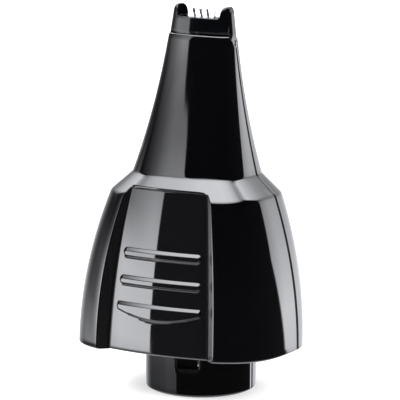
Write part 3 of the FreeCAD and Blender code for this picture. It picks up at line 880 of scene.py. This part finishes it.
def add_bump(nodes, links, shader, source, strength, distance):
    """Raises the surface by a height pattern; the distance is in metres."""
    bump = nodes.new("ShaderNodeBump")
    bump.inputs["Strength"].default_value = strength
    bump.inputs["Distance"].default_value = distance
    links.new(source, bump.inputs["Height"])
    links.new(bump.outputs["Normal"], shader.inputs["Normal"])


def gloss_plastic(name, colour, roughness=0.03, shine=0.5):
    """Polished dark plastic: faint flow ripple, hairline scuffs and a touch of edge wear."""
    material, nodes, links, shader = node_tree(name)
    scuffs = ramp(nodes, links, noise(nodes, links, 900, 6, (1, 1, 0.12)), 0.55, 0.75, 0.0, 0.05)
    haze = ramp(nodes, links, noise(nodes, links, 60, 2), 0.35, 0.7, roughness, roughness + 0.015)
    links.new(math_node(nodes, links, "ADD", scuffs, haze), shader.inputs["Roughness"])
    geometry = nodes.new("ShaderNodeNewGeometry")
    edge = ramp(nodes, links, geometry.outputs["Pointiness"], 0.52, 0.60, 0.0, 0.35)
    worn = nodes.new("ShaderNodeMix")
    worn.data_type = "RGBA"
    links.new(edge, worn.inputs["Factor"])
    worn.inputs["A"].default_value = (*colour, 1)
    worn.inputs["B"].default_value = (*[0.06 + value for value in colour], 1)
    links.new(worn.outputs["Result"], shader.inputs["Base Color"])
    shader.inputs["IOR"].default_value = 1.52
    shader.inputs["Specular IOR Level"].default_value = shine
    add_bump(nodes, links, shader, noise(nodes, links, 260, 2), 0.08, 0.00001)
    return material


def satin_plastic(name, colour, roughness=0.5, grain=2500):
    """Moulded plastic or rubber with a fine grain in its tone, sheen and surface."""
    material, nodes, links, shader = node_tree(name)
    speckle = noise(nodes, links, grain, 4)
    scale = nodes.new("ShaderNodeVectorMath")
    scale.operation = "SCALE"
    scale.inputs[0].default_value = colour
    links.new(ramp(nodes, links, speckle, 0.3, 0.7, 0.85, 1.15), scale.inputs["Scale"])
    links.new(scale.outputs["Vector"], shader.inputs["Base Color"])
    sheen = ramp(nodes, links, speckle, 0.3, 0.7, roughness - 0.08, roughness + 0.1)
    links.new(sheen, shader.inputs["Roughness"])
    add_bump(nodes, links, shader, speckle, 0.25, 0.00002)
    return material


def ground_metal(name, colour, roughness=0.22, stretch=(1, 1, 14)):
    """Metal with fine parallel grinding marks."""
    material, nodes, links, shader = node_tree(name)
    lines = noise(nodes, links, 1200, 5, stretch)
    shader.inputs["Metallic"].default_value = 1.0
    shader.inputs["Base Color"].default_value = (*colour, 1)
    sheen = ramp(nodes, links, lines, 0.3, 0.7, roughness - 0.08, roughness + 0.12)
    links.new(sheen, shader.inputs["Roughness"])
    add_bump(nodes, links, shader, lines, 0.15, 0.00001)
    return material


def make_materials():
    """All finishes by name: linear colour, roughness, then shine, grain or stretch."""
    return {
        "shell_black": gloss_plastic("shell_black_gloss", (0.0007, 0.0007, 0.0010)),
        "recess_black": gloss_plastic("recess_black_drawn", (0.0010, 0.0010, 0.0014), 0.26, 0.8),
        "panel_black": gloss_plastic("panel_black_gloss", (0.0026, 0.0026, 0.0032), 0.025),
        "cap_black": gloss_plastic("cap_black_gloss", (0.0010, 0.0011, 0.0015), 0.04, 0.17),
        # The next finish, for the walls inside the cap's notch, reflects nothing: painted shade standing in
        # for the notch's shadow.
        "cap_shaded_inside": gloss_plastic("cap_notch_walls_painted_shade", (0.0020, 0.0020, 0.0024), 0.35, 0.0),
        "blade_steel": ground_metal("blade_steel_ground", (0.78, 0.78, 0.80), 0.24),
        # The cutter's dark steel is a darkened copy of the blade steel: painted shade for its front face
        # behind the comb.
        "cutter_steel_painted_shade": ground_metal("cutter_ground_steel_painted_dark", (0.13, 0.13, 0.14), 0.34),
        "spring_steel": ground_metal("spring_steel_rolled", (0.60, 0.60, 0.62), 0.30),
        "pin_steel": ground_metal("pin_steel_ground", (0.70, 0.70, 0.70), 0.18),
        "screw_steel": ground_metal("screw_steel_plated", (0.55, 0.56, 0.60), 0.28, (14, 14, 1)),
        "bush_brass": ground_metal("bush_brass_sintered", (0.72, 0.52, 0.26), 0.38),
        "holder_black": satin_plastic("holder_black_acetal", (0.022, 0.022, 0.025)),
        "slide_white": satin_plastic("slide_white_acetal", (0.72, 0.72, 0.68), 0.4),
        "lever_grey": satin_plastic("lever_grey_nylon", (0.26, 0.27, 0.29)),
        "frame_grey": satin_plastic("frame_grey_nylon", (0.09, 0.09, 0.10)),
        "seal_rubber": satin_plastic("seal_rubber_soft", (0.02, 0.02, 0.02), 0.75, 4000),
    }


def dress_cad_nodes(materials):
    """Gives every node its procedural finish, and marks its sharp edges."""
    slots = {entry["node"]: entry["material_slot"] for entry in frame["record"]["subparts"]}
    # The cutter blade takes the darkened steel: painted shade for its front face, which lies in shade
    # behind the comb.
    slots["cutter_blade"] = "cutter_steel_painted_shade"
    for node, obj in frame["nodes"].items():
        obj.data.materials.clear()
        obj.data.materials.append(materials[slots[node]])
        for face in obj.data.polygons:
            face.use_smooth = True
        obj.data.set_sharp_from_angle(angle=SHARP_ANGLE)


# ---- camera ----
def add_camera():
    """A long lens in front on the right and a little above."""
    data = bpy.data.cameras.new("camera")
    data.sensor_width = SENSOR_WIDTH
    data.lens = SENSOR_WIDTH * VIEW_DISTANCE / FRAME_WIDTH
    data.shift_x, data.shift_y = FRAME_SHIFT
    data.clip_start, data.clip_end = CLIP
    camera = bpy.data.objects.new("camera", data)
    flat = math.cos(VIEW_ELEVATION)
    away = Vector((math.sin(VIEW_AZIMUTH) * flat, -math.cos(VIEW_AZIMUTH) * flat, math.sin(VIEW_ELEVATION)))
    turn = (-away).to_track_quat("-Z", "Y").to_matrix().to_4x4()
    place = Matrix.Translation(VIEW_TARGET + away * VIEW_DISTANCE)
    camera.matrix_world = place @ turn @ Matrix.Rotation(VIEW_ROLL, 4, "Z")
    bpy.context.scene.collection.objects.link(camera)
    bpy.context.scene.camera = camera


# ---- studio ----
def ray_angles(nodes, links):
    """A ray's angle round the object and its height angle, in degrees."""
    place = nodes.new("ShaderNodeTexCoord")
    parts = nodes.new("ShaderNodeSeparateXYZ")
    links.new(place.outputs["Generated"], parts.inputs["Vector"])
    forward = math_node(nodes, links, "MULTIPLY", parts.outputs["Y"], -1.0)
    around = math_node(nodes, links, "ARCTAN2", parts.outputs["X"], forward)
    up = math_node(nodes, links, "ARCSINE", parts.outputs["Z"])
    return [math_node(nodes, links, "MULTIPLY", angle, 180 / math.pi) for angle in (around, up)]


def soft_step(nodes, links, source, edge, width):
    """Rises from 0 to 1 over a width around an edge."""
    convert = nodes.new("ShaderNodeMapRange")
    convert.interpolation_type = "SMOOTHSTEP"
    convert.inputs["From Min"].default_value = edge - width / 2
    convert.inputs["From Max"].default_value = edge + width / 2
    links.new(source, convert.inputs["Value"])
    return convert.outputs["Result"]


def level_along(nodes, links, source, stops):
    """Brightness along an angle, straight from each (angle, brightness) stop to the next."""
    low, high = stops[0][0], stops[-1][0]
    peak = max(level for _, level in stops)
    levels = nodes.new("ShaderNodeValToRGB")
    links.new(ramp(nodes, links, source, low, high, 0.0, 1.0), levels.inputs["Fac"])
    marks = levels.color_ramp.elements
    for i, (angle, level) in enumerate(stops):
        mark = marks[i] if i < len(marks) else marks.new(1.0)
        mark.position = (angle - low) / (high - low)
        mark.color = (level / peak,) * 3 + (1,)
    return math_node(nodes, links, "MULTIPLY", levels.outputs["Color"], peak)


def mirrored_light(nodes, links):
    """Brightness of the soft boxes, the glows and the dark room that the gloss mirrors."""
    around, up = ray_angles(nodes, links)

    def plus(first, second):
        return math_node(nodes, links, "ADD", first, second)

    def times(first, second):
        return math_node(nodes, links, "MULTIPLY", first, second)

    def level(source, stops):
        return level_along(nodes, links, source, stops)

    left = times(level(around, LEFT_BOX_AROUND), level(up, LEFT_BOX_UP))
    fades = ((UPPER_FADE_AROUND, UPPER_FADE_UP), (SIDE_FADE_AROUND, SIDE_FADE_UP))
    for fade_around, fade_up in fades:
        fade = times(level(around, fade_around), level(up, fade_up))
        left = times(left, math_node(nodes, links, "SUBTRACT", 1.0, fade))
    full_turn = plus(around, times(math_node(nodes, links, "LESS_THAN", around, 0), 360))
    leaning = plus(full_turn, times(math_node(nodes, links, "MINIMUM", up, 0), RIGHT_BOX_LEAN))
    edge = soft_step(nodes, links, leaning, RIGHT_BOX_EDGE, RIGHT_BOX_SOFTNESS)
    right = times(times(edge, level(up, RIGHT_BOX_UP)), level(full_turn, RIGHT_BOX_AROUND))
    back = times(level(full_turn, BACK_GLOW_AROUND), level(up, BACK_GLOW_UP))
    boxes = plus(plus(left, right), plus(level(up, TOP_BOX_UP), back))
    return plus(boxes, plus(level(up, DARK_ROOM), level(up, FLOOR_GLOW)))


def build_world():
    """Plain white for the eye and for soft light; glossy rays see the mirrored studio instead."""
    world = bpy.data.worlds.new("studio")
    bpy.context.scene.world = world
    world.use_nodes = True
    nodes, links = world.node_tree.nodes, world.node_tree.links
    nodes.clear()
    glossy = nodes.new("ShaderNodeBackground")
    glossy.inputs["Color"].default_value = MIRROR_TINT
    links.new(mirrored_light(nodes, links), glossy.inputs["Strength"])
    plain = nodes.new("ShaderNodeBackground")
    plain.inputs["Color"].default_value = (1, 1, 1, 1)
    plain.inputs["Strength"].default_value = SURROUND
    rays = nodes.new("ShaderNodeLightPath")
    choose = nodes.new("ShaderNodeMixShader")
    links.new(rays.outputs["Is Glossy Ray"], choose.inputs["Fac"])
    links.new(plain.outputs["Background"], choose.inputs[1])
    links.new(glossy.outputs["Background"], choose.inputs[2])
    out = nodes.new("ShaderNodeOutputWorld")
    links.new(choose.outputs["Shader"], out.inputs["Surface"])


def add_floor():
    """A wide pale floor that reflections pass through, as if it were a light tent's base."""
    bm = bmesh.new()
    bmesh.ops.create_circle(bm, cap_ends=True, radius=FLOOR_RADIUS, segments=FLOOR_POINTS)
    floor = link_mesh("floor", bm)
    floor.location.z = CAD_BOX[0][2] - FLOOR_DROP
    material, nodes, links, shader = node_tree("floor_pale")
    tone = ramp(nodes, links, noise(nodes, links, 4, 2), 0.3, 0.7, 0.96, 1.0)
    links.new(tone, shader.inputs["Base Color"])
    shader.inputs["Roughness"].default_value = 0.9
    shader.inputs["Emission Color"].default_value = (1, 1, 1, 1)
    shader.inputs["Emission Strength"].default_value = FLOOR_EMISSION
    floor.data.materials.append(material)
    floor.visible_glossy = False


def add_light(name, place, power):
    """A square area light that reflections don't show."""
    data = bpy.data.lights.new(name, "AREA")
    data.shape = "RECTANGLE"
    data.size = data.size_y = LIGHT_SIZE
    data.energy = power
    light = bpy.data.objects.new(name, data)
    light.location = place
    light.rotation_euler = (LIGHT_TARGET - Vector(place)).to_track_quat("-Z", "Y").to_euler()
    light.visible_glossy = False
    bpy.context.scene.collection.objects.link(light)


def body_of(node):
    """Name of the body that a node belongs to."""
    bodies = frame["record"]["behaviour"]["bodies"]
    return next(body for body, nodes in bodies.items() if node in nodes)


def main():
    """Builds the pieces, their finishes and the studio round them."""
    bpy.context.scene.view_settings.view_transform = "Standard"
    materials = make_materials()
    dress_cad_nodes(materials)
    black = materials["shell_black"]
    housing = body_of("front_shell")
    front = shell_piece("housing_front", front_half_outline, -1, black, housing, "front_shell")
    finish_recess_walls(front, materials["recess_black"])
    shell_piece("housing_rear", rear_half_outline, 1, black, housing, "rear_shell")
    for suffix, side in (("front", -1), ("rear", 1)):
        spigot_half("spigot_" + suffix, side, black, housing)
        web_half("web_" + suffix, side, black, housing)
    grip_panel(materials["panel_black"], housing)
    tip_cap(materials["cap_black"], materials["cap_shaded_inside"], body_of("blade_cap"))
    build_world()
    add_floor()
    for name, place, power in LIGHTS:
        add_light(name, place, power)
    add_camera()


main()
